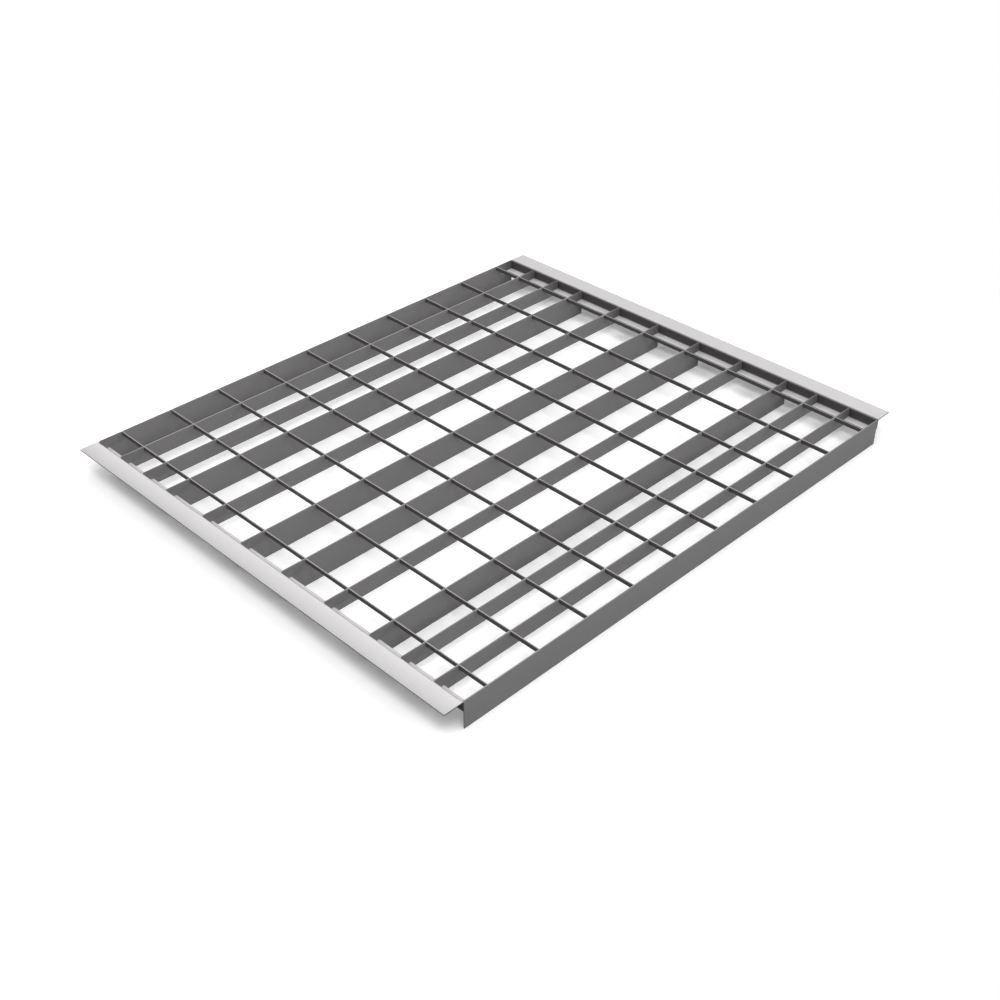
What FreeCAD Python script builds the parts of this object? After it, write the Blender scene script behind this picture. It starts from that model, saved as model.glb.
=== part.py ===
import FreeCAD, Part
import Sketcher
import itertools
import os
from collections import Counter

# A pallet rack mesh deck: a grating of flat steel bars between two bent rails that hang on the rack's beams.
# X runs along the beams, Y across the rack from the front beam to the back beam, and Z up.
# The origin is under the middle of the deck, level with the lower edges of the deep bars.

# Every driving dimension, in millimetres, with what it measures.
SIZES = (
    ("deck_width", 892.0, "over the outer faces of the two side bars"),
    ("bar_length", 990.0, "of the bearing bars and side bars, from web to web"),
    ("bar_thickness", 2.0, "of the bearing bars and side bars"),
    ("deep_bar_height", 50.0, "of the side bars and the deep bearing bars"),
    ("low_bar_height", 30.0, "of the low bearing bars"),
    ("narrow_pitch", 66.7, "between bearing bars in the narrow cells"),
    ("wide_pitch", 100.0, "between bearing bars in the wide cells"),
    ("cross_bar_pitch", 100.0, "between cross bars"),
    ("cross_bar_height", 8.0, "of the cross bars"),
    ("cross_bar_thickness", 2.0, "of the cross bars"),
    ("rail_sheet", 2.0, "thickness of the rails"),
    ("flange_width", 36.0, "from the inner face of a rail's web to the free edge of its flange"),
    ("rail_height", 20.5, "from the top of a rail's flange to the underside of its ledge"),
    ("ledge_width", 16.0, "from the inner face of a rail's web to the free edge of its ledge"),
    ("bend_radius", 1.0, "inside each bend of a rail"),
    ("slot_clearance", 0.3, "between a rail's ledge and the bars that it slots into or runs between"),
)

# The inner bearing bars from the left side bar on: each one's pitch from the bar before it, and its height.
INNER_BARS = (
    ("narrow_pitch", "low_bar_height"),
    ("narrow_pitch", "low_bar_height"),
    ("narrow_pitch", "deep_bar_height"),
    ("wide_pitch", "low_bar_height"),
    ("wide_pitch", "deep_bar_height"),
    ("wide_pitch", "deep_bar_height"),
    ("wide_pitch", "low_bar_height"),
    ("wide_pitch", "deep_bar_height"),
    ("narrow_pitch", "low_bar_height"),
    ("narrow_pitch", "low_bar_height"),
)

# The cross bars stand at an even pitch about the middle of the bearing bars.
CROSS_BAR_COUNT = "round(Sizes.bar_length / Sizes.cross_bar_pitch)"
CROSS_BAR_SPAN = f"({CROSS_BAR_COUNT} - 1) * Sizes.cross_bar_pitch"

# A sketch's own zero point, by the numbers that its constraints know it by.
ORIGIN = (-1, 1)


def start_of(side):
    """Names the point where a sketch's side starts, as its constraints do."""
    return side, 1


def end_of(side):
    """Names the point where a sketch's side ends, as its constraints do."""
    return side, 2


def hold_on_axis(sketch, point, axis):
    """Holds a point on the sketch's own X or Y axis, which its constraints count as -1 and -2."""
    sketch.addConstraint(Sketcher.Constraint("PointOnObject", *point, {"X": -1, "Y": -2}[axis]))


def make_sheet(doc):
    """Writes the driving dimensions to the document's spreadsheet, one a row, each under its own alias."""
    sheet = doc.addObject("Spreadsheet::Sheet", "Sizes")
    for row, (alias, millimetres, note) in enumerate(SIZES, start=1):
        sheet.set(f"A{row}", alias)
        sheet.set(f"B{row}", str(millimetres))
        sheet.set(f"C{row}", note)
        sheet.setAlias(f"B{row}", alias)
    doc.recompute()
    return sheet


def origin_feature(body, role):
    """Returns the body's own plane or axis with this role."""
    return next(feature for feature in body.Origin.OriginFeatures if feature.Role == role)


def make_sketch(body, name, plane, offsets):
    """Attaches a sketch to one of the body's origin planes, with its zero moved by the given expressions."""
    sketch = body.newObject("Sketcher::SketchObject", name)
    sketch.AttachmentSupport = [(origin_feature(body, plane), "")]
    sketch.MapMode = "FlatFace"
    for axis, expression in offsets.items():
        sketch.setExpression(f".AttachmentOffset.Base.{axis}", expression)
    sketch.Document.recompute()
    return sketch


def draw_outline(sketch, points):
    """Draws a closed outline of straight sides, held level or upright where its points say so.

    Returns the index of its first side: side n starts at point n.
    """
    first = sketch.GeometryCount
    vectors = [FreeCAD.Vector(x, y, 0) for x, y in points]
    for start, end in zip(vectors, vectors[1:] + vectors[:1]):
        side = sketch.addGeometry(Part.LineSegment(start, end))
        if start.y == end.y:
            sketch.addConstraint(Sketcher.Constraint("Horizontal", side))
        elif start.x == end.x:
            sketch.addConstraint(Sketcher.Constraint("Vertical", side))
    for number in range(len(points)):
        following = first + (number + 1) % len(points)
        sketch.addConstraint(Sketcher.Constraint("Coincident", *end_of(first + number), *start_of(following)))
    return first


def dimension(sketch, kind, low, high, expression):
    """Binds the distance from one point up to another to an expression over the sheet."""
    value = float(sketch.evalExpression(expression))
    index = sketch.addConstraint(Sketcher.Constraint(kind, *low, *high, value))
    sketch.setExpression(f"Constraints[{index}]", expression)


def draw_rectangle(sketch, left, front, width, depth):
    """Draws a rectangle placed and sized by expressions. A side with no place lies on the sketch's axis."""
    x = float(sketch.evalExpression(left)) if left else 0.0
    y = float(sketch.evalExpression(front)) if front else 0.0
    across = float(sketch.evalExpression(width))
    along = float(sketch.evalExpression(depth))
    first = draw_outline(sketch, [(x, y), (x + across, y), (x + across, y + along), (x, y + along)])
    corner = start_of(first)
    if left:
        dimension(sketch, "DistanceX", ORIGIN, corner, left)
    else:
        hold_on_axis(sketch, corner, "Y")
    if front:
        dimension(sketch, "DistanceY", ORIGIN, corner, front)
    else:
        hold_on_axis(sketch, corner, "X")
    dimension(sketch, "DistanceX", corner, end_of(first), width)
    dimension(sketch, "DistanceY", corner, end_of(first + 2), depth)


def make_plan(body, name):
    """Returns a sketch in the deck's top plane, with its zero at the left front corner of the bars."""
    return make_sketch(body, name, "XY_Plane", {
        "x": "-Sizes.deck_width / 2",
        "y": "-Sizes.bar_length / 2",
        "z": "Sizes.deep_bar_height",
    })


def pad_down(body, name, plan, height):
    """Gives the bars of a plan their height, down from the deck's top plane."""
    pad = body.newObject("PartDesign::Pad", name)
    pad.Profile = plan
    pad.Reversed = True
    pad.setExpression("Length", height)
    body.Document.recompute()
    return pad


def pad_bearing_bars(body, name, lefts, height):
    """Stands bars of one height from web to web, with their left faces where the expressions say."""
    plan = make_plan(body, f"{name}_plan")
    for left in lefts:
        draw_rectangle(plan, left, None, "Sizes.bar_thickness", "Sizes.bar_length")
    return pad_down(body, name, plan, height)


def cut_end_slots(body):
    """Saws the slot that takes a rail's ledge into both ends of every bar in the body.

    The bars' upper tongues sit on the ledges, and their corners are cut off to clear the rails' bends.
    """
    sketch = make_sketch(body, "end_slot", "YZ_Plane", {
        "x": "Sizes.bar_length / 2",
        "y": "Sizes.deep_bar_height - Sizes.rail_height + Sizes.rail_sheet",
    })
    beyond = "Sizes.slot_clearance"
    depth = "Sizes.ledge_width + Sizes.slot_clearance"
    height = "Sizes.rail_sheet + Sizes.slot_clearance"
    corner = "Sizes.bend_radius + Sizes.slot_clearance"
    out, deep, high, cut = (float(sketch.evalExpression(size)) for size in (beyond, depth, height, corner))
    points = [(-deep, -high), (out, -high), (out, cut + out), (-cut, 0), (-deep, 0)]
    floor, mouth, slant, roof, _ = range(draw_outline(sketch, points), sketch.GeometryCount)
    dimension(sketch, "DistanceX", ORIGIN, start_of(mouth), beyond)
    dimension(sketch, "DistanceX", start_of(floor), ORIGIN, depth)
    dimension(sketch, "DistanceY", start_of(floor), ORIGIN, height)
    dimension(sketch, "DistanceX", end_of(slant), ORIGIN, corner)
    dimension(sketch, "DistanceY", ORIGIN, start_of(slant), f"{corner} + {beyond}")
    hold_on_axis(sketch, end_of(roof), "X")
    pocket = body.newObject("PartDesign::Pocket", "end_slots")
    pocket.Profile = sketch
    pocket.SideType = "Symmetric"
    pocket.Type = "ThroughAll"
    body.Document.recompute()
    mirrored = body.newObject("PartDesign::Mirrored", "both_end_slots")
    mirrored.Originals = [pocket]
    mirrored.MirrorPlane = (origin_feature(body, "XZ_Plane"), [""])
    body.Tip = mirrored
    body.Document.recompute()


def inner_bar_places(sheet):
    """Returns the left faces of the inner bearing bars as expressions, grouped by the bars' height.

    A bar that would stand nearer to the right side bar than half a narrow cell is left out.
    """
    limit = sheet.deck_width - sheet.bar_thickness - sheet.narrow_pitch / 2
    places = {"deep_bar_height": [], "low_bar_height": []}
    steps = Counter()
    for pitch, height in itertools.cycle(INNER_BARS):
        steps[pitch] += 1
        if sum(count * sheet.get(name) for name, count in steps.items()) > limit:
            return places
        places[height].append(" + ".join(f"{count} * Sizes.{name}" for name, count in steps.items()))


def make_grating(doc, sheet):
    """Builds the inner bearing bars with the cross bars pressed in flush, fused where they cross."""
    body = doc.addObject("PartDesign::Body", "grating")
    for height, lefts in inner_bar_places(sheet).items():
        pad_bearing_bars(body, height.replace("_height", "s"), lefts, f"Sizes.{height}")
    plan = make_plan(body, "cross_bar_plan")
    front = f"(Sizes.bar_length - {CROSS_BAR_SPAN} - Sizes.cross_bar_thickness) / 2"
    length = "Sizes.deck_width - 2 * Sizes.bar_thickness"
    draw_rectangle(plan, "Sizes.bar_thickness", front, length, "Sizes.cross_bar_thickness")
    pad = pad_down(body, "cross_bar", plan, "Sizes.cross_bar_height")
    pattern = body.newObject("PartDesign::LinearPattern", "cross_bars")
    pattern.Originals = [pad]
    pattern.Direction = (origin_feature(body, "Y_Axis"), [""])
    pattern.setExpression("Length", CROSS_BAR_SPAN)
    pattern.setExpression("Occurrences", CROSS_BAR_COUNT)
    body.Tip = pattern
    doc.recompute()
    cut_end_slots(body)
    return body


def make_side_bar(doc, name, left):
    """Builds a deep bar that closes the grating's cells along one edge, with plain ends that butt on the webs."""
    body = doc.addObject("PartDesign::Body", name)
    pad_bearing_bars(body, f"{name}_flat", [left], "Sizes.deep_bar_height")
    return body


def bend_edges(feature, corners):
    """Names the long edges of a straight section that pass through the given points of its outline."""
    names = []
    for number, edge in enumerate(feature.Shape.Edges, start=1):
        middle = edge.CenterOfMass
        along_rail = edge.Vertexes[0].X != edge.Vertexes[-1].X
        if along_rail and any(abs(middle.y - y) < 1e-6 and abs(middle.z - z) < 1e-6 for y, z in corners):
            names.append(f"Edge{number}")
    return names


def round_bends(body, name, base, corners, radius):
    """Rounds the bends at the given corners of a rail's section."""
    fillet = body.newObject("PartDesign::Fillet", name)
    fillet.Base = (base, bend_edges(base, corners))
    fillet.setExpression("Radius", radius)
    body.Document.recompute()
    return fillet


def crop_ledge(body, name):
    """Crops both ends of a rail's ledge, so that the side bars pass it and reach the web."""
    plan = make_plan(body, f"{name}_plan")
    width = "(Sizes.bar_thickness + Sizes.slot_clearance)"
    for left in (None, f"Sizes.deck_width - {width}"):
        draw_rectangle(plan, left, None, width, "Sizes.ledge_width + Sizes.slot_clearance")
    pocket = body.newObject("PartDesign::Pocket", name)
    pocket.Profile = plan
    pocket.Type = "ThroughAll"
    body.Document.recompute()


def make_rail(doc, sheet, name, turn):
    """Bends a rail from sheet: a flange out over the beam, a web down inside it, and a ledge in under the bars.

    The rail is drawn at the front of the deck and turned about the deck's middle to its own side.
    """
    body = doc.addObject("PartDesign::Body", name)
    sketch = make_sketch(body, f"{name}_section", "YZ_Plane", {
        "x": "-Sizes.bar_length / 2",
        "y": "Sizes.deep_bar_height - Sizes.rail_height",
    })
    flange, ledge = sheet.flange_width, sheet.ledge_width
    height, thick = sheet.rail_height, sheet.rail_sheet
    points = [
        (0, height), (-flange, height), (-flange, height - thick), (-thick, height - thick),
        (-thick, 0), (ledge, 0), (ledge, thick), (0, thick),
    ]
    top, edge, _, _, under, lip, _, web = range(draw_outline(sketch, points), sketch.GeometryCount)
    hold_on_axis(sketch, start_of(top), "Y")
    hold_on_axis(sketch, end_of(under), "X")
    dimension(sketch, "DistanceX", start_of(edge), ORIGIN, "Sizes.flange_width")
    dimension(sketch, "DistanceX", ORIGIN, end_of(under), "Sizes.ledge_width")
    dimension(sketch, "DistanceY", ORIGIN, start_of(top), "Sizes.rail_height")
    dimension(sketch, "DistanceX", start_of(under), ORIGIN, "Sizes.rail_sheet")
    dimension(sketch, "DistanceY", end_of(edge), start_of(edge), "Sizes.rail_sheet")
    dimension(sketch, "DistanceY", start_of(lip), end_of(lip), "Sizes.rail_sheet")
    pad = body.newObject("PartDesign::Pad", f"{name}_blank")
    pad.Profile = sketch
    pad.SideType = "Symmetric"
    pad.setExpression("Length", "Sizes.deck_width")
    doc.recompute()
    inner_face = -sheet.bar_length / 2
    crown = sheet.deep_bar_height
    foot = crown - height
    insides = [(inner_face - thick, crown - thick), (inner_face, foot + thick)]
    outsides = [(inner_face, crown), (inner_face - thick, foot)]
    inner = round_bends(body, f"{name}_inner_bends", pad, insides, "Sizes.bend_radius")
    round_bends(body, f"{name}_outer_bends", inner, outsides, "Sizes.bend_radius + Sizes.rail_sheet")
    crop_ledge(body, f"{name}_ledge_ends")
    body.Placement.Rotation = FreeCAD.Rotation(FreeCAD.Vector(0, 0, 1), turn)
    doc.recompute()
    return body


def check(doc, bodies):
    """Stops the build where any object failed or a sub-part isn't one valid solid."""
    for item in doc.Objects:
        if "Invalid" in item.State or "Error" in item.State:
            raise RuntimeError(f"{item.Label} failed: {item.State}")
    for body in bodies:
        if body.Shape.isNull() or not body.Shape.isValid() or len(body.Shape.Solids) != 1:
            raise RuntimeError(f"{body.Label} isn't one valid solid")


def main():
    """Builds the deck and writes each piece to its own file."""
    doc = FreeCAD.newDocument("pallet_rack_mesh_deck")
    sheet = make_sheet(doc)
    bodies = [
        make_grating(doc, sheet),
        make_side_bar(doc, "left_side_bar", None),
        make_side_bar(doc, "right_side_bar", "Sizes.deck_width - Sizes.bar_thickness"),
        make_rail(doc, sheet, "front_rail", 0),
        make_rail(doc, sheet, "back_rail", 180),
    ]
    check(doc, bodies)
    os.makedirs("parts", exist_ok=True)
    for body in bodies:
        body.Shape.exportStep(f"parts/{body.Label}.step")
        print(body.Label, round(body.Shape.Volume), body.Shape.BoundBox)


main()
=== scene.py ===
"""Dresses the pallet rack mesh deck: flat bars pressed together into a grating between two hanging rails.

X runs along the rack's beams, Y from the front rail to the back rail and Z up, with the floor at zero.
The deck's sizes are in millimetres. Meshes, lamps and the camera are in metres.
"""

import logging
import math
from collections.abc import Callable, Iterable
from dataclasses import dataclass
from enum import Enum
from typing import Any

import bmesh
import bpy
from mathutils import Matrix, Vector


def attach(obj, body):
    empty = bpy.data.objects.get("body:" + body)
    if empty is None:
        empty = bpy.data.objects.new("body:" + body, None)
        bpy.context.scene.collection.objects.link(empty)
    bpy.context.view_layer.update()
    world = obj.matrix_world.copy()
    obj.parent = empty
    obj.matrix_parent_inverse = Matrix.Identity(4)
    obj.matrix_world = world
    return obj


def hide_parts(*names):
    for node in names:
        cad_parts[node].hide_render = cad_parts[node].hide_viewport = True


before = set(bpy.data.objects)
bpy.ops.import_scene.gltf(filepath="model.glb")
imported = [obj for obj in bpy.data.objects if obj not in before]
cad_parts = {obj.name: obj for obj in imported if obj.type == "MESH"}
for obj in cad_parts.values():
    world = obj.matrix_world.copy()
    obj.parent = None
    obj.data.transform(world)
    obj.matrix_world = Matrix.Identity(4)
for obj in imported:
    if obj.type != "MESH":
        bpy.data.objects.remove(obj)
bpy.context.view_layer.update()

MM = 0.001
BODY = "root"
PAINTED_LIGHT = "paleness"
PAINTED_SHADING = "brightening"
WHITE = (1.0, 1.0, 1.0, 1.0)
QUARTER_TURN = 90.0
SHARP_ANGLE = math.radians(50)
FLAT_FACE_WEIGHT = 100
RIM_STEPS = 2
RIM_ROUNDNESS = 0.5
SQUARE_ON = 0.99
PATTERN_MIDDLE = 0.5
# A mix node has sockets of the same name for each kind of data, so those for colours go by number.
MIX_FIRST, MIX_SECOND, MIX_RESULT = 6, 7, 2

log = logging.getLogger("mesh_deck")

Point = tuple[float, float]
Place = tuple[float, float, float]
Ends = tuple[float, float]


class Lay(Enum):
    """The way that a piece's steel was rolled, which its faint streaks follow."""

    ALONG_BEAM = (1.0, 0.0, 0.0)
    ACROSS_RACK = (0.0, 1.0, 0.0)


class BarHeight(Enum):
    """The two heights of bearing bar, in millimetres."""

    DEEP = 50.0
    LOW = 30.0


class Heading(Enum):
    """A way across a rail's section, in degrees from the back, anticlockwise when seen from the right."""

    BACK = 0.0
    UP = 90.0
    FRONT = 180.0
    DOWN = -90.0


@dataclass(frozen=True)
class SharedSizes:
    """The sizes by which the bars and the rails fit each other, in millimetres."""

    width: float = 892.0
    top: float = BarHeight.DEEP.value
    web_inner: float = 495.0
    bar_thickness: float = 2.0
    rail_sheet: float = 2.0
    rail_height: float = 20.5
    ledge_width: float = 16.0
    bend_radius: float = 2.5
    clearance: float = 0.3

    def ledge_top(self) -> float:
        """Gives the height of the ledges that the bars' ends sit on."""
        return self.top - self.rail_height + self.rail_sheet


SHARED = SharedSizes()


def linear_colour(hex_code: str) -> tuple[float, float, float, float]:
    """Turns an sRGB hex colour into the linear values that shaders take.

    Args:
        hex_code: The colour, such as "#d2d0d1".

    Returns:
        Linear red, green, blue and an alpha of one.
    """
    channels = [int(hex_code[place:place + 2], 16) / 255 for place in (1, 3, 5)]
    linear = [c / 12.92 if c <= 0.04045 else ((c + 0.055) / 1.055) ** 2.4 for c in channels]
    return (*linear, 1.0)


def add_node(
    tree: bpy.types.NodeTree, kind: str, inputs: dict[Any, Any] | None = None, **settings: Any
) -> bpy.types.Node:
    """Adds one node, with its settings, its input values and its links.

    Args:
        tree: The node tree that gets the node.
        kind: Blender's name of the node type.
        inputs: For each input, by name or number, the socket that feeds it or the value that it holds.
        settings: The node's own properties.

    Returns:
        The new node.
    """
    node = tree.nodes.new(kind)
    for name, value in settings.items():
        setattr(node, name, value)
    for name, source in (inputs or {}).items():
        if isinstance(source, bpy.types.NodeSocket):
            tree.links.new(source, node.inputs[name])
        else:
            node.inputs[name].default_value = source
    return node


def empty_material(name: str) -> bpy.types.Material:
    """Makes a node material with nothing in it yet.

    Args:
        name: The finish, as a maker would call it.

    Returns:
        The material, whose tree is empty.
    """
    material = bpy.data.materials.new(name)
    material.use_nodes = True
    material.node_tree.nodes.clear()
    return material


def add_object(name: str, mesh: bpy.types.Mesh) -> bpy.types.Object:
    """Puts a mesh in the scene as an object at the origin.

    Args:
        name: The object's name.
        mesh: Its mesh, with its place in its vertices.

    Returns:
        The new object.
    """
    made = bpy.data.objects.new(name, mesh)
    bpy.context.scene.collection.objects.link(made)
    return made


def freeze(made: bpy.types.Object) -> None:
    """Turns an object's modifiers into plain mesh and removes them.

    Args:
        made: The object, which keeps its name and place.
    """
    graph = bpy.context.evaluated_depsgraph_get()
    graph.update()
    old = made.data
    made.data = bpy.data.meshes.new_from_object(made.evaluated_get(graph), depsgraph=graph)
    made.modifiers.clear()
    made.data.name = made.name
    bpy.data.meshes.remove(old)


def settle_normals(made: bpy.types.Object) -> None:
    """Shades the rounded edges smooth while the wide flat faces stay flat.

    Args:
        made: The object to shade.
    """
    made.data.shade_smooth()
    made.data.set_sharp_from_angle(angle=SHARP_ANGLE)
    weights = made.modifiers.new("flat_faces_first", "WEIGHTED_NORMAL")
    weights.mode = "FACE_AREA"
    weights.weight = FLAT_FACE_WEIGHT
    weights.keep_sharp = True
    freeze(made)


def hand_over(made: bpy.types.Object, node: str) -> None:
    """Declares a finished piece to the frame and reports it.

    Args:
        made: The piece, with its place in its mesh.
        node: The solid that it stands for, alone or with other pieces.
    """
    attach(made, BODY)
    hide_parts(node)
    log.info("%s: %d faces, stands for %s", made.name, len(made.data.polygons), node)


@dataclass(frozen=True)
class ZincPlating:
    """Matt zinc plating on cold-rolled steel strip, dull from its bath and not polished.

    It gives the eye a mid grey that scatters rather than mirrors, with a fine crystal grain, faint streaks
    along the rolling and soft clouds from the bath. Faces that lie level, the bars' narrow faces and the
    rails' sheared lip are painted lighter than the upright faces: painted light from above. The bars are
    painted
    darker where they run in over the rails' ledges, up to the side bars' inner faces, most of all at the
    back:
    painted shade.
    """

    stock: str
    lay: Lay
    dull: str
    # The lit tone that level faces, the bars' narrow faces and the rails' lip are painted towards: painted
    # light.
    painted_light_tone: str = "#d2d0d1"
    # Painted shade on the bars over the rails' ledges: its share at each end, where it starts and is full,
    # the height above which it lies, and its width.
    front_end_shade: float = 0.0
    back_end_shade: float = 0.0
    end_shade_start_mm: float = 446.0
    end_shade_full_mm: float = 484.0
    end_shade_floor_mm: float = SHARED.ledge_top()
    end_shade_width_mm: float = SHARED.width - SHARED.bar_thickness / 2
    grain_mm: float = 2.0
    streak_width_mm: float = 1.1
    streak_length_mm: float = 90.0
    cloud_mm: float = 70.0
    grain_depth_mm: float = 0.02
    grain_reach: float = 0.22
    streak_reach: float = 0.05
    cloud_reach: float = 0.05
    relief: float = 0.25
    metallic: float = 0.04
    specular: float = 0.12
    roughness: float = 0.6
    roughness_reach: float = 0.12

    def make(self) -> bpy.types.Material:
        """Builds the finish for strip that was rolled along the lay.

        Returns:
            The material.
        """
        material = empty_material(f"matt_zinc_plated_{self.stock}")
        tree = material.node_tree
        place = add_node(tree, "ShaderNodeTexCoord").outputs["Object"]
        # The crystals of the plating are finer than a pixel, so they are drawn as coarse as shows.
        grain = self.noise(tree, place, self.grain_mm)
        clouds = self.noise(tree, place, self.cloud_mm)
        streaks = self.noise(tree, self.squeezed(tree, place), self.streak_width_mm)
        # Painted highlight and painted shade from the rails' attribute, less the painted shade over the
        # ledges.
        brightening = add_node(tree, "ShaderNodeAttribute", attribute_name=PAINTED_SHADING).outputs["Fac"]
        lift = add_node(
            tree, "ShaderNodeMath", {0: brightening, 1: self.painted_end_shade(tree, place)}, operation="SUBTRACT"
        ).outputs[0]
        tone = self.weighted(tree, lift, (
            (grain, self.grain_reach), (clouds, self.cloud_reach), (streaks, self.streak_reach)
        ))
        # How far each face is painted towards the lit tone: painted light on level faces and narrow faces.
        paleness = add_node(tree, "ShaderNodeAttribute", attribute_name=PAINTED_LIGHT).outputs["Fac"]
        zinc = add_node(tree, "ShaderNodeMix", {
            "Factor": paleness,
            MIX_FIRST: linear_colour(self.dull),
            MIX_SECOND: linear_colour(self.painted_light_tone),
        }, data_type="RGBA").outputs[MIX_RESULT]
        colour = add_node(
            tree, "ShaderNodeVectorMath", {0: zinc, "Scale": tone}, operation="SCALE"
        ).outputs[0]
        rough = add_node(tree, "ShaderNodeMapRange", {
            "Value": grain,
            "To Min": self.roughness - self.roughness_reach / 2,
            "To Max": self.roughness + self.roughness_reach / 2,
        }).outputs[0]
        relief = add_node(tree, "ShaderNodeBump", {
            "Strength": self.relief,
            "Distance": self.grain_depth_mm * MM,
            "Height": grain,
        }).outputs[0]
        shader = add_node(tree, "ShaderNodeBsdfPrincipled", {
            "Base Color": colour,
            "Metallic": self.metallic,
            "Roughness": rough,
            "Specular IOR Level": self.specular,
            "Normal": relief,
        })
        add_node(tree, "ShaderNodeOutputMaterial", {"Surface": shader.outputs[0]})
        return material

    def painted_end_shade(self, tree: bpy.types.NodeTree, place: bpy.types.NodeSocket) -> bpy.types.NodeSocket:
        """Finds how far the bars are painted darker where they run in over the ledges: painted shade.

        Args:
            tree: The material's tree.
            place: The plain coordinates.

        Returns:
            The share of the tone that the painted shade takes away.
        """
        x, y, z = add_node(tree, "ShaderNodeSeparateXYZ", {"Vector": place}).outputs
        across = add_node(tree, "ShaderNodeMath", {0: x}, operation="ABSOLUTE").outputs[0]
        shaded = add_node(
            tree, "ShaderNodeMath", {0: across, 1: self.end_shade_width_mm / 2 * MM}, operation="LESS_THAN"
        ).outputs[0]
        above = add_node(
            tree, "ShaderNodeMath", {0: z, 1: self.end_shade_floor_mm * MM}, operation="GREATER_THAN"
        ).outputs[0]
        shaded = add_node(tree, "ShaderNodeMath", {0: shaded, 1: above}, operation="MULTIPLY").outputs[0]
        ends = [
            add_node(tree, "ShaderNodeMapRange", {
                "Value": y,
                "From Min": side * self.end_shade_start_mm * MM,
                "From Max": side * self.end_shade_full_mm * MM,
                "To Max": share,
            }).outputs[0]
            for side, share in ((-1, self.front_end_shade), (1, self.back_end_shade))
        ]
        both = add_node(tree, "ShaderNodeMath", {0: ends[0], 1: ends[1]}, operation="ADD").outputs[0]
        return add_node(tree, "ShaderNodeMath", {0: both, 1: shaded}, operation="MULTIPLY").outputs[0]

    def squeezed(self, tree: bpy.types.NodeTree, place: bpy.types.NodeSocket) -> bpy.types.NodeSocket:
        """Squeezes the coordinates along the lay, so that a pattern on them is drawn out into streaks.

        Args:
            tree: The material's tree.
            place: The plain coordinates.

        Returns:
            The squeezed coordinates.
        """
        ratio = self.streak_width_mm / self.streak_length_mm
        scale = [ratio if along else 1.0 for along in self.lay.value]
        return add_node(tree, "ShaderNodeMapping", {"Vector": place, "Scale": scale}).outputs[0]

    @staticmethod
    def noise(tree: bpy.types.NodeTree, place: bpy.types.NodeSocket, size_mm: float) -> bpy.types.NodeSocket:
        """Adds a soft random pattern in patches of one size, about one half on average."""
        scale = 1 / (size_mm * MM)
        return add_node(tree, "ShaderNodeTexNoise", {"Vector": place, "Scale": scale}).outputs[0]

    @staticmethod
    def weighted(
        tree: bpy.types.NodeTree,
        lift: bpy.types.NodeSocket,
        layers: Iterable[tuple[bpy.types.NodeSocket, float]],
    ) -> bpy.types.NodeSocket:
        """Adds patterns up to a tone that is one on average.

        Args:
            tree: The material's tree.
            lift: How much lighter than that the surface is painted at each place, as painted light and
                painted shade.
            layers: Each pattern and how far it moves the tone from end to end.

        Returns:
            The tone.
        """
        tone = add_node(tree, "ShaderNodeMath", {0: lift, 1: 1.0}, operation="ADD").outputs[0]
        for pattern, reach in layers:
            centred = add_node(
                tree, "ShaderNodeMath", {0: pattern, 1: PATTERN_MIDDLE}, operation="SUBTRACT"
            ).outputs[0]
            tone = add_node(
                tree, "ShaderNodeMath", {0: centred, 1: reach, 2: tone}, operation="MULTIPLY_ADD"
            ).outputs[0]
        return tone


def extruded_strip(name: str, outline: list[Point], depth: float, rounding: float) -> bpy.types.Mesh:
    """Makes a solid from an outline in Y and Z, with the rims of its two ends rounded.

    Args:
        name: The mesh's name.
        outline: The corners as Y and Z, anticlockwise when seen from the right.
        depth: The solid's size in X, which its middle plane halves.
        rounding: The radius that takes the sharpness off the rims.

    Returns:
        The mesh.
    """
    shape = bmesh.new()
    left = [shape.verts.new((-depth / 2 * MM, y * MM, z * MM)) for y, z in outline]
    right = [shape.verts.new((depth / 2 * MM, y * MM, z * MM)) for y, z in outline]
    ends = [shape.faces.new(right), shape.faces.new(left[::-1])]
    for here in range(len(outline)):
        after = (here + 1) % len(outline)
        shape.faces.new((left[here], left[after], right[after], right[here]))
    rims = [edge for face in ends for edge in face.edges]
    bmesh.ops.bevel(
        shape, geom=rims, offset=rounding * MM, segments=RIM_STEPS, profile=RIM_ROUNDNESS,
        affect="EDGES", clamp_overlap=True,
    )
    mesh = bpy.data.meshes.new(name)
    shape.to_mesh(mesh)
    shape.free()
    return mesh


def mark_painted_light(mesh: bpy.types.Mesh, rule: Callable[[bpy.types.MeshPolygon], float]) -> None:
    """Stores on each face how far its plating is painted from dull towards its lit tone: painted light.

    Args:
        mesh: The mesh to mark.
        rule: Gives that share for a face.
    """
    shares = mesh.attributes.new(PAINTED_LIGHT, "FLOAT", "FACE").data
    for face, share in zip(mesh.polygons, shares):
        share.value = rule(face)


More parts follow.
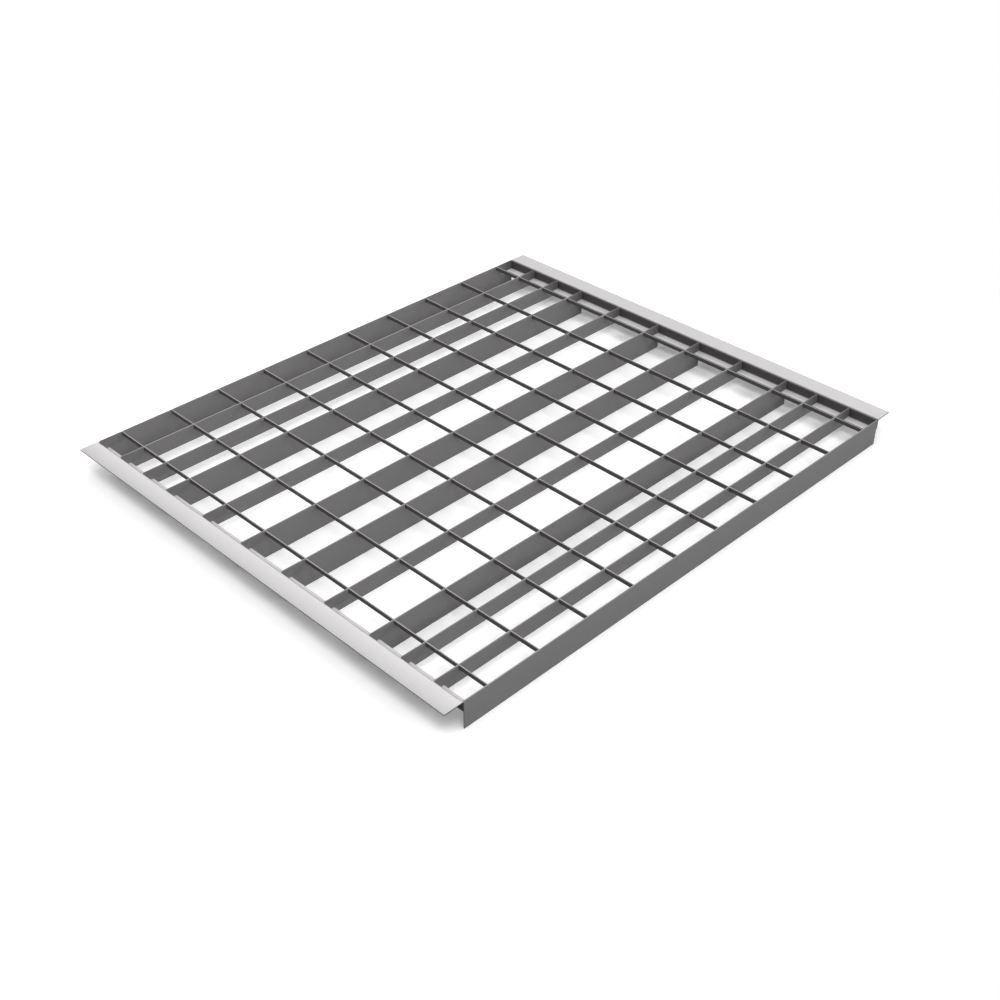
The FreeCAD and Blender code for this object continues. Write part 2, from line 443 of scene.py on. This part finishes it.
class BarTree:
    """A node tree that stands a copy of one bar on each point of a mesh."""

    name = "bars_at_places"
    sizes: dict[str, str] = {}

    def __init__(self) -> None:
        """Builds the tree once, for every row of bars that uses it."""
        self.tree = bpy.data.node_groups.new(self.name, "GeometryNodeTree")
        sockets = {"Places": "Geometry", "Bar": "Object", "Finish": "Material", **self.sizes}
        panel = self.tree.interface
        self.keys = {
            name: panel.new_socket(name, in_out="INPUT", socket_type=f"NodeSocket{kind}").identifier
            for name, kind in sockets.items()
        }
        panel.new_socket("Bars", in_out="OUTPUT", socket_type="NodeSocketGeometry")
        given = add_node(self.tree, "NodeGroupInput").outputs
        bar = add_node(self.tree, "GeometryNodeObjectInfo", {"Object": given["Bar"]})
        copies = add_node(self.tree, "GeometryNodeInstanceOnPoints", {
            "Points": self.points(given),
            "Instance": bar.outputs["Geometry"],
        })
        solid = add_node(self.tree, "GeometryNodeRealizeInstances", {"Geometry": copies.outputs[0]})
        dressed = add_node(self.tree, "GeometryNodeSetMaterial", {
            "Geometry": solid.outputs[0],
            "Material": given["Finish"],
        })
        add_node(self.tree, "NodeGroupOutput", {"Bars": dressed.outputs[0]})

    def points(self, given: bpy.types.NodeOutputs) -> bpy.types.NodeSocket:
        """Gives the points that the bars stand on, which are those of the object's own mesh."""
        return given["Places"]

    def row(
        self,
        name: str,
        bar: bpy.types.Mesh,
        finish: bpy.types.Material,
        places: list[Place],
        **values: float,
    ) -> bpy.types.Object:
        """Makes one plain mesh of copies of a bar.

        Args:
            name: The piece's name.
            bar: One bar about its own origin.
            finish: The material that the copies get.
            places: Points of the piece's own mesh, in millimetres.
            values: The tree's sizes, by their input's name.

        Returns:
            The piece.
        """
        points = bpy.data.meshes.new(f"{name}_places")
        points.from_pydata([[value * MM for value in place] for place in places], [], [])
        bar.materials.append(finish)
        pattern = add_object(f"{name}_pattern", bar)
        made = add_object(name, points)
        copies = made.modifiers.new("copies", "NODES")
        copies.node_group = self.tree
        for socket, value in {"Bar": pattern, "Finish": finish, **values}.items():
            copies[self.keys[socket]] = value
        freeze(made)
        bpy.data.objects.remove(pattern)
        settle_normals(made)
        return made


class EvenBarTree(BarTree):
    """A node tree that stands copies of one bar in even steps from the front to the back."""

    name = "bars_in_even_steps"
    sizes = {"Count": "Int", "Pitch": "Float"}

    def points(self, given: bpy.types.NodeOutputs) -> bpy.types.NodeSocket:
        """Sets out a line of points from the one point of the object's own mesh.

        Args:
            given: The tree's inputs.

        Returns:
            The points.
        """
        step = add_node(self.tree, "ShaderNodeCombineXYZ", {"Y": given["Pitch"]})
        line = add_node(self.tree, "GeometryNodeMeshLine", {
            "Count": given["Count"],
            "Offset": step.outputs[0],
        })
        lines = add_node(self.tree, "GeometryNodeInstanceOnPoints", {
            "Points": given["Places"],
            "Instance": line.outputs[0],
        })
        return add_node(self.tree, "GeometryNodeRealizeInstances", {"Geometry": lines.outputs[0]}).outputs[0]


@dataclass
class Grating:
    """The bearing bars and the cross bars that are pressed into their top edges."""

    finish_across: bpy.types.Material
    finish_along: bpy.types.Material
    width: float = SHARED.width
    length: float = 2 * SHARED.web_inner
    thickness: float = SHARED.bar_thickness
    top: float = SHARED.top
    narrow_pitch: float = 66.7
    wide_pitch: float = 100.0
    cross_pitch: float = 100.0
    cross_height: float = 8.0
    cross_count: int = 10
    ledge_top: float = SHARED.ledge_top()
    ledge_width: float = SHARED.ledge_width
    ledge_sheet: float = SHARED.rail_sheet
    bend_radius: float = SHARED.bend_radius
    clearance: float = SHARED.clearance
    press_gap: float = 0.04
    rounding: float = 0.35
    # Painted light: how far the narrow faces of the bars and of the cross bars are painted lighter than the
    # wide faces.
    bar_edge_light: float = 0.1
    cross_edge_light: float = 0.5
    heights: tuple[BarHeight, ...] = (
        BarHeight.LOW, BarHeight.LOW, BarHeight.DEEP, BarHeight.LOW, BarHeight.DEEP,
        BarHeight.DEEP, BarHeight.LOW, BarHeight.DEEP, BarHeight.LOW, BarHeight.LOW,
    )
    narrow_cells: tuple[int, ...] = (0, 1, 2, 8, 9)

    def flat_bar(self, name: str, outline: list[Point], narrow_face_light: float) -> bpy.types.Mesh:
        """Makes one flat bar that stands on edge, with painted light marked on its narrow faces all round.

        Args:
            name: The mesh's name.
            outline: The bar's side view as Y and Z, anticlockwise when seen from the right.
            narrow_face_light: How far its narrow faces are painted lighter, as painted light.

        Returns:
            The mesh.
        """
        mesh = extruded_strip(name, outline, self.thickness, self.rounding)
        mark_painted_light(mesh, lambda face: 0.0 if abs(face.normal.x) > SQUARE_ON else narrow_face_light)
        return mesh

    def bar_places(self, height: BarHeight) -> list[Place]:
        """Finds where the inner bars of one height stand.

        Args:
            height: The height that is asked for.

        Returns:
            The middle of each such bar.
        """
        places, x = [], (self.thickness - self.width) / 2
        for cell, bar in enumerate(self.heights):
            x += self.narrow_pitch if cell in self.narrow_cells else self.wide_pitch
            if bar is height:
                places.append((x, 0.0, 0.0))
        return places

    def first_cross(self) -> float:
        """Gives the Y of the cross bar nearest the front."""
        return -(self.cross_count - 1) / 2 * self.cross_pitch

    def end_outline(self, bottom: float) -> list[Point]:
        """Draws a bar's back end from its lower corner up, with the slot that takes the rail's ledge.

        Args:
            bottom: The height of the bar's lower edge.

        Returns:
            The points, as Y and Z.
        """
        end = self.length / 2
        slot_floor = self.ledge_top - self.ledge_sheet - self.clearance
        slot_end = end - self.ledge_width - self.clearance
        corner = self.bend_radius + self.clearance
        return [
            (end, bottom), (end, slot_floor), (slot_end, slot_floor), (slot_end, self.ledge_top),
            (end - corner, self.ledge_top), (end, self.ledge_top + corner), (end, self.top),
        ]

    def notches(self) -> list[Point]:
        """Draws the notches for the cross bars along a bar's top edge, from the back to the front.

        Returns:
            The points, as Y and Z.
        """
        half = self.thickness / 2 + self.press_gap
        floor = self.top - self.cross_height - self.press_gap
        points = []
        for step in reversed(range(self.cross_count)):
            y = self.first_cross() + step * self.cross_pitch
            points += [(y + half, self.top), (y + half, floor), (y - half, floor), (y - half, self.top)]
        return points

    def bar_outline(self, height: BarHeight) -> list[Point]:
        """Draws the whole side view of an inner bar, with its notches and its slotted ends.

        Args:
            height: The bar's height.

        Returns:
            The points, as Y and Z, anticlockwise when seen from the right.
        """
        back = self.end_outline(self.top - height.value)
        front = [(-y, z) for y, z in reversed(back)]
        return back + self.notches() + front

    def build(self) -> None:
        """Makes and dresses the deep bars, the low bars, the two side bars and the cross bars."""
        placed = BarTree()
        for height in BarHeight:
            name = f"{height.name.lower()}_bearing_bars"
            bar = self.flat_bar(name, self.bar_outline(height), self.bar_edge_light)
            hand_over(placed.row(name, bar, self.finish_across, self.bar_places(height)), "grating")
        edge, end = (self.width - self.thickness) / 2, self.length / 2
        bottom = self.top - BarHeight.DEEP.value
        plain = [(end, bottom), (end, self.top), (-end, self.top), (-end, bottom)]
        for node, x in (("left_side_bar", -edge), ("right_side_bar", edge)):
            bar = self.flat_bar(node, plain, self.bar_edge_light)
            hand_over(placed.row(f"{node}_strip", bar, self.finish_across, [(x, 0.0, 0.0)]), node)
        self.build_cross_bars()

    def build_cross_bars(self) -> None:
        """Makes and dresses the cross bars."""
        half = self.width / 2 - self.thickness
        outline = [(half, -self.cross_height), (half, 0.0), (-half, 0.0), (-half, -self.cross_height)]
        bar = self.flat_bar("cross_bar", outline, self.cross_edge_light)
        bar.transform(Matrix.Rotation(-math.pi / 2, 4, "Z"))
        piece = EvenBarTree().row(
            "cross_bars", bar, self.finish_along, [(0.0, self.first_cross(), self.top)],
            Count=self.cross_count, Pitch=self.cross_pitch * MM,
        )
        hand_over(piece, "grating")


@dataclass
class HangingRails:
    """The two bent rails: a flange that lies on the beam, a web, and a ledge that the bars' ends sit on."""

    finish: bpy.types.Material
    length: float = SHARED.width
    web_inner: float = SHARED.web_inner
    top: float = SHARED.top
    flange_width: float = 36.0
    height: float = SHARED.rail_height
    ledge_width: float = SHARED.ledge_width
    ledge_crop: float = SHARED.bar_thickness + SHARED.clearance
    sheet: float = SHARED.rail_sheet
    bend_radius: float = SHARED.bend_radius
    rounding: float = 0.3
    arc_steps: int = 8
    # Painted light: how fast it fades as a face tilts from level, and how much of it the flange's sheared
    # lip gets.
    light_fading: float = 4.0
    lip_light: float = 0.35
    # Painted highlight and painted shade across each flange, from its free edge to its bend, and painted
    # shade along the ledge, darker towards the web.
    front_painted_shading: Ends = (-0.13, 0.13)
    back_painted_shading: Ends = (0.0, 0.0)
    ledge_painted_shading: Ends = (0.02, -0.12)

    def arc(self, centre: Point, radius: float, start: Heading, turn: float) -> list[Point]:
        """Draws a round stretch of the section.

        Args:
            centre: The arc's centre, as Y and Z.
            radius: Its radius.
            start: The way from the centre to its first point.
            turn: How far it goes round, in degrees, anticlockwise where positive.

        Returns:
            The points from the first to the last.
        """
        steps = range(self.arc_steps + 1)
        angles = [math.radians(start.value + turn * step / self.arc_steps) for step in steps]
        return [(centre[0] + radius * math.cos(a), centre[1] + radius * math.sin(a)) for a in angles]

    def section(self) -> list[Point]:
        """Draws the back rail's section, anticlockwise when seen from the right.

        Returns:
            The points, as Y and Z.
        """
        inner, outer = self.bend_radius, self.bend_radius + self.sheet
        lip = self.web_inner + self.flange_width
        bottom = self.top - self.height
        ledge = self.web_inner - self.ledge_width
        upper = (self.web_inner + outer, self.top - outer)
        lower = (self.web_inner - inner, bottom + outer)
        return [
            (lip, self.top - self.sheet), (lip, self.top),
            *self.arc(upper, outer, Heading.UP, QUARTER_TURN),
            *self.arc(lower, inner, Heading.BACK, -QUARTER_TURN),
            (ledge, bottom + self.sheet), (ledge, bottom),
            *self.arc(lower, outer, Heading.DOWN, QUARTER_TURN),
            *self.arc(upper, inner, Heading.FRONT, -QUARTER_TURN),
        ]

    def build(self) -> None:
        """Makes and dresses both rails."""
        self.build_rail("front_rail", math.pi, self.front_painted_shading)
        self.build_rail("back_rail", 0.0, self.back_painted_shading)

    def build_rail(self, node: str, turn: float, brightening: Ends) -> None:
        """Makes and dresses one rail.

        Args:
            node: The solid that it stands for.
            turn: How far it is turned from the back rail, in radians.
            brightening: How much lighter the plating is painted at the flange's free edge and at its bend:
                painted highlight and painted shade.
        """
        mesh = extruded_strip(node, self.section(), self.length, self.rounding)
        piece = add_object(f"{node}_section", mesh)
        self.crop_ledge(piece)
        mesh = piece.data
        mark_painted_light(mesh, self.painted_light_of)
        values = mesh.attributes.new(PAINTED_SHADING, "FLOAT", "POINT").data
        for vertex, value in zip(mesh.vertices, values):
            value.value = self.painted_shading_at(vertex.co.y / MM, brightening)
        mesh.transform(Matrix.Rotation(turn, 4, "Z"))
        mesh.materials.append(self.finish)
        settle_normals(piece)
        hand_over(piece, node)

    def painted_light_of(self, face: bpy.types.MeshPolygon) -> float:
        """Paints light on what lies level and on the flange's sheared lip, and leaves the rest dull.

        Args:
            face: A face of the back rail.

        Returns:
            How far its plating is painted from dull towards its lit tone: painted light.
        """
        if face.normal.y > SQUARE_ON and face.center.y / MM > self.web_inner + self.flange_width / 2:
            return self.lip_light
        return max(face.normal.z, 0.0) ** self.light_fading

    def painted_shading_at(self, y: float, brightening: Ends) -> float:
        """Paints a highlight and shade across the flange from its free edge to its bend, and shade on the
        ledge from its free edge to the web, darker towards the web.

        Args:
            y: The place across the back rail.
            brightening: How much lighter the plating is painted at the flange's free edge and at its bend:
                painted highlight and painted shade.

        Returns:
            How much lighter it is painted at that place; a value below zero is painted shade.
        """
        if y < self.web_inner:
            first, last = self.ledge_painted_shading
            share = (y - self.web_inner + self.ledge_width) / self.ledge_width
        else:
            first, last = brightening
            flat = self.flange_width - self.bend_radius - self.sheet
            share = min((self.web_inner + self.flange_width - y) / flat, 1.0)
        return first + (last - first) * share

    def crop_ledge(self, piece: bpy.types.Object) -> None:
        """Crops both ends of the back rail's ledge, so that the side bars pass it and reach the web.

        Args:
            piece: The rail, which loses those two corners.
        """
        # Each box is twice as large as the corner that it cuts off, to reach out past the rail's own faces.
        reach = Vector((2 * self.ledge_crop, 2 * self.ledge_width, 2 * self.height))
        shape = bmesh.new()
        for side in (-1, 1):
            middle = Vector((side * self.length / 2, self.web_inner - reach.y / 2, self.top - self.height))
            bmesh.ops.create_cube(shape, size=MM, matrix=Matrix.LocRotScale(middle * MM, None, reach))
        mesh = bpy.data.meshes.new("ledge_crop")
        shape.to_mesh(mesh)
        shape.free()
        corners = add_object("ledge_crop", mesh)
        cut = piece.modifiers.new("ledge_crop", "BOOLEAN")
        cut.operation = "DIFFERENCE"
        cut.solver = "EXACT"
        cut.object = corners
        freeze(piece)
        bpy.data.objects.remove(corners)


@dataclass(frozen=True)
class Lamp:
    """A soft round studio lamp that shines on the middle of the deck."""

    name: str
    place: Place
    watts: float
    size: float = 4.0

    def build(self) -> None:
        """Hangs the lamp and turns it to the deck."""
        lamp = bpy.data.lights.new(self.name, "AREA")
        lamp.shape = "DISK"
        lamp.size = self.size
        lamp.energy = self.watts
        hung = bpy.data.objects.new(self.name, lamp)
        hung.location = self.place
        hung.rotation_euler = Vector(self.place).to_track_quat("Z", "Y").to_euler()
        bpy.context.scene.collection.objects.link(hung)


@dataclass
class Studio:
    """The white floor, the lamps, the white surroundings and the camera, whose lens is in millimetres."""

    floor_radius: float = 9.0
    floor_corners: int = 96
    fade_start: float = 0.80
    fade_end: float = 1.25
    floor_albedo: float = 0.97
    floor_lift: float = 0.49
    shade_reach: float = 0.12
    shade_power: float = 2.0
    shade_samples: int = 4
    bounce: float = 0.03
    lens: float = 50.14
    azimuth: float = 45.05
    elevation: float = 35.33
    distance: float = 2.2111
    target: Place = (0.15436, -0.13696, 0.05)
    lamps: tuple[Lamp, ...] = (
        Lamp("right_softbox", (8.5, 0.0, 5.0), 124.0),
        Lamp("back_right_softbox", (5.0, 5.0, 5.0), 171.0, 8.0),
        Lamp("back_softbox", (2.5, 5.0, 5.0), 64.0, 8.0),
        Lamp("back_overhead_softbox", (0.0, 2.5, 5.0), 61.0),
        Lamp("front_overhead_softbox", (0.0, -2.5, 5.0), 44.0),
        Lamp("front_right_softbox", (2.5, -2.5, 5.0), 82.0),
        Lamp("front_right_small_lamp", (2.5, -1.75, 5.0), 55.0, 1.8),
        Lamp("front_left_softbox", (-2.5, -5.0, 5.0), 60.0),
        Lamp("left_softbox", (-5.0, -2.5, 5.0), 142.0),
    )

    def build(self) -> None:
        """Sets up everything round the object."""
        bpy.context.scene.view_settings.view_transform = "Standard"
        self.build_floor()
        self.build_world()
        for lamp in self.lamps:
            lamp.build()
        self.build_camera()

    @staticmethod
    def seen(tree: bpy.types.NodeTree) -> bpy.types.NodeSocket:
        """Finds the rays that show the background: straight to the camera, mirrored or through glass.

        Args:
            tree: The tree that asks.

        Returns:
            A socket that is one for such rays and zero for those that only light other things.
        """
        path = add_node(tree, "ShaderNodeLightPath").outputs
        shown = path["Is Camera Ray"]
        for name in ("Is Glossy Ray", "Is Transmission Ray"):
            shown = add_node(
                tree, "ShaderNodeMath", {0: shown, 1: path[name]}, operation="MAXIMUM"
            ).outputs[0]
        return shown

    def build_floor(self) -> None:
        """Lays a plain white floor that keeps the deck's shadow and fades to pure white further out.

        Near the deck, what the camera sees of the floor is lifted towards white, less so where the deck
        closes it in. What other rays find there is dim, so that the floor throws little light back up.
        """
        shape = bmesh.new()
        bmesh.ops.create_circle(shape, cap_ends=True, segments=self.floor_corners, radius=self.floor_radius)
        mesh = bpy.data.meshes.new("studio_floor")
        shape.to_mesh(mesh)
        shape.free()
        material = empty_material("white_paper_floor")
        tree = material.node_tree
        paper = add_node(tree, "ShaderNodeBsdfDiffuse", {"Color": (*[self.floor_albedo] * 3, 1)})
        openness = add_node(
            tree, "ShaderNodeAmbientOcclusion", {"Distance": self.shade_reach}, samples=self.shade_samples
        ).outputs["AO"]
        shade = add_node(
            tree, "ShaderNodeMath", {0: openness, 1: self.shade_power}, operation="POWER"
        ).outputs[0]
        glow = add_node(
            tree, "ShaderNodeMath", {0: shade, 1: self.floor_lift}, operation="MULTIPLY"
        ).outputs[0]
        lift = add_node(tree, "ShaderNodeEmission", {"Color": WHITE, "Strength": glow})
        near = add_node(tree, "ShaderNodeAddShader", {0: paper.outputs[0], 1: lift.outputs[0]})
        place = add_node(tree, "ShaderNodeTexCoord").outputs["Object"]
        radius = add_node(tree, "ShaderNodeVectorMath", {0: place}, operation="LENGTH").outputs["Value"]
        fade = add_node(tree, "ShaderNodeMapRange", {
            "Value": radius, "From Min": self.fade_start, "From Max": self.fade_end,
        }, interpolation_type="SMOOTHSTEP").outputs[0]
        far = add_node(tree, "ShaderNodeEmission", {"Color": WHITE, "Strength": 1.0})
        shown = add_node(tree, "ShaderNodeMixShader", {0: fade, 1: near.outputs[0], 2: far.outputs[0]})
        dim = add_node(tree, "ShaderNodeBsdfDiffuse", {"Color": (*[self.bounce] * 3, 1)})
        mixed = add_node(tree, "ShaderNodeMixShader", {
            0: self.seen(tree), 1: dim.outputs[0], 2: shown.outputs[0],
        })
        add_node(tree, "ShaderNodeOutputMaterial", {"Surface": mixed.outputs[0]})
        mesh.materials.append(material)
        add_object("studio_floor", mesh)

    def build_world(self) -> None:
        """Makes the surroundings white to look at, while the lamps alone give light."""
        world = bpy.data.worlds.new("white_studio")
        world.use_nodes = True
        tree = world.node_tree
        tree.nodes.clear()
        glow = add_node(tree, "ShaderNodeBackground", {"Color": WHITE, "Strength": self.seen(tree)})
        add_node(tree, "ShaderNodeOutputWorld", {"Surface": glow.outputs[0]})
        bpy.context.scene.world = world

    def build_camera(self) -> None:
        """Sets the camera at the photograph's viewing angle."""
        lens = bpy.data.cameras.new("camera")
        lens.lens = self.lens
        camera = bpy.data.objects.new("camera", lens)
        across, up = math.radians(self.azimuth), math.radians(self.elevation)
        back = Vector((math.sin(across) * math.cos(up), -math.cos(across) * math.cos(up), math.sin(up)))
        camera.location = Vector(self.target) + back * self.distance
        camera.rotation_euler = back.to_track_quat("Z", "Y").to_euler()
        bpy.context.scene.collection.objects.link(camera)
        bpy.context.scene.camera = camera


def main() -> None:
    """Builds the deck, piece by piece, and the studio round it."""
    logging.basicConfig(level=logging.INFO, format="%(name)s: %(message)s")
    # All three strips carry the same plating. The cross bars and the rails get a darker dull grey than the
    # bearing bars: painted shade, for faces that get less light. The bearing bars' ends are painted darker
    # over the ledges: painted shade.
    bearing_strip = ZincPlating("bearing_strip", Lay.ACROSS_RACK, "#9c9a9b", front_end_shade=0.25, back_end_shade=0.57)
    cross_strip = ZincPlating("cross_strip", Lay.ALONG_BEAM, "#5a5859")
    rail_sheet = ZincPlating("rail_sheet", Lay.ALONG_BEAM, "#4e4c4d")
    Grating(bearing_strip.make(), cross_strip.make()).build()
    HangingRails(rail_sheet.make()).build()
    Studio().build()


if __name__ == "__main__":
    main()
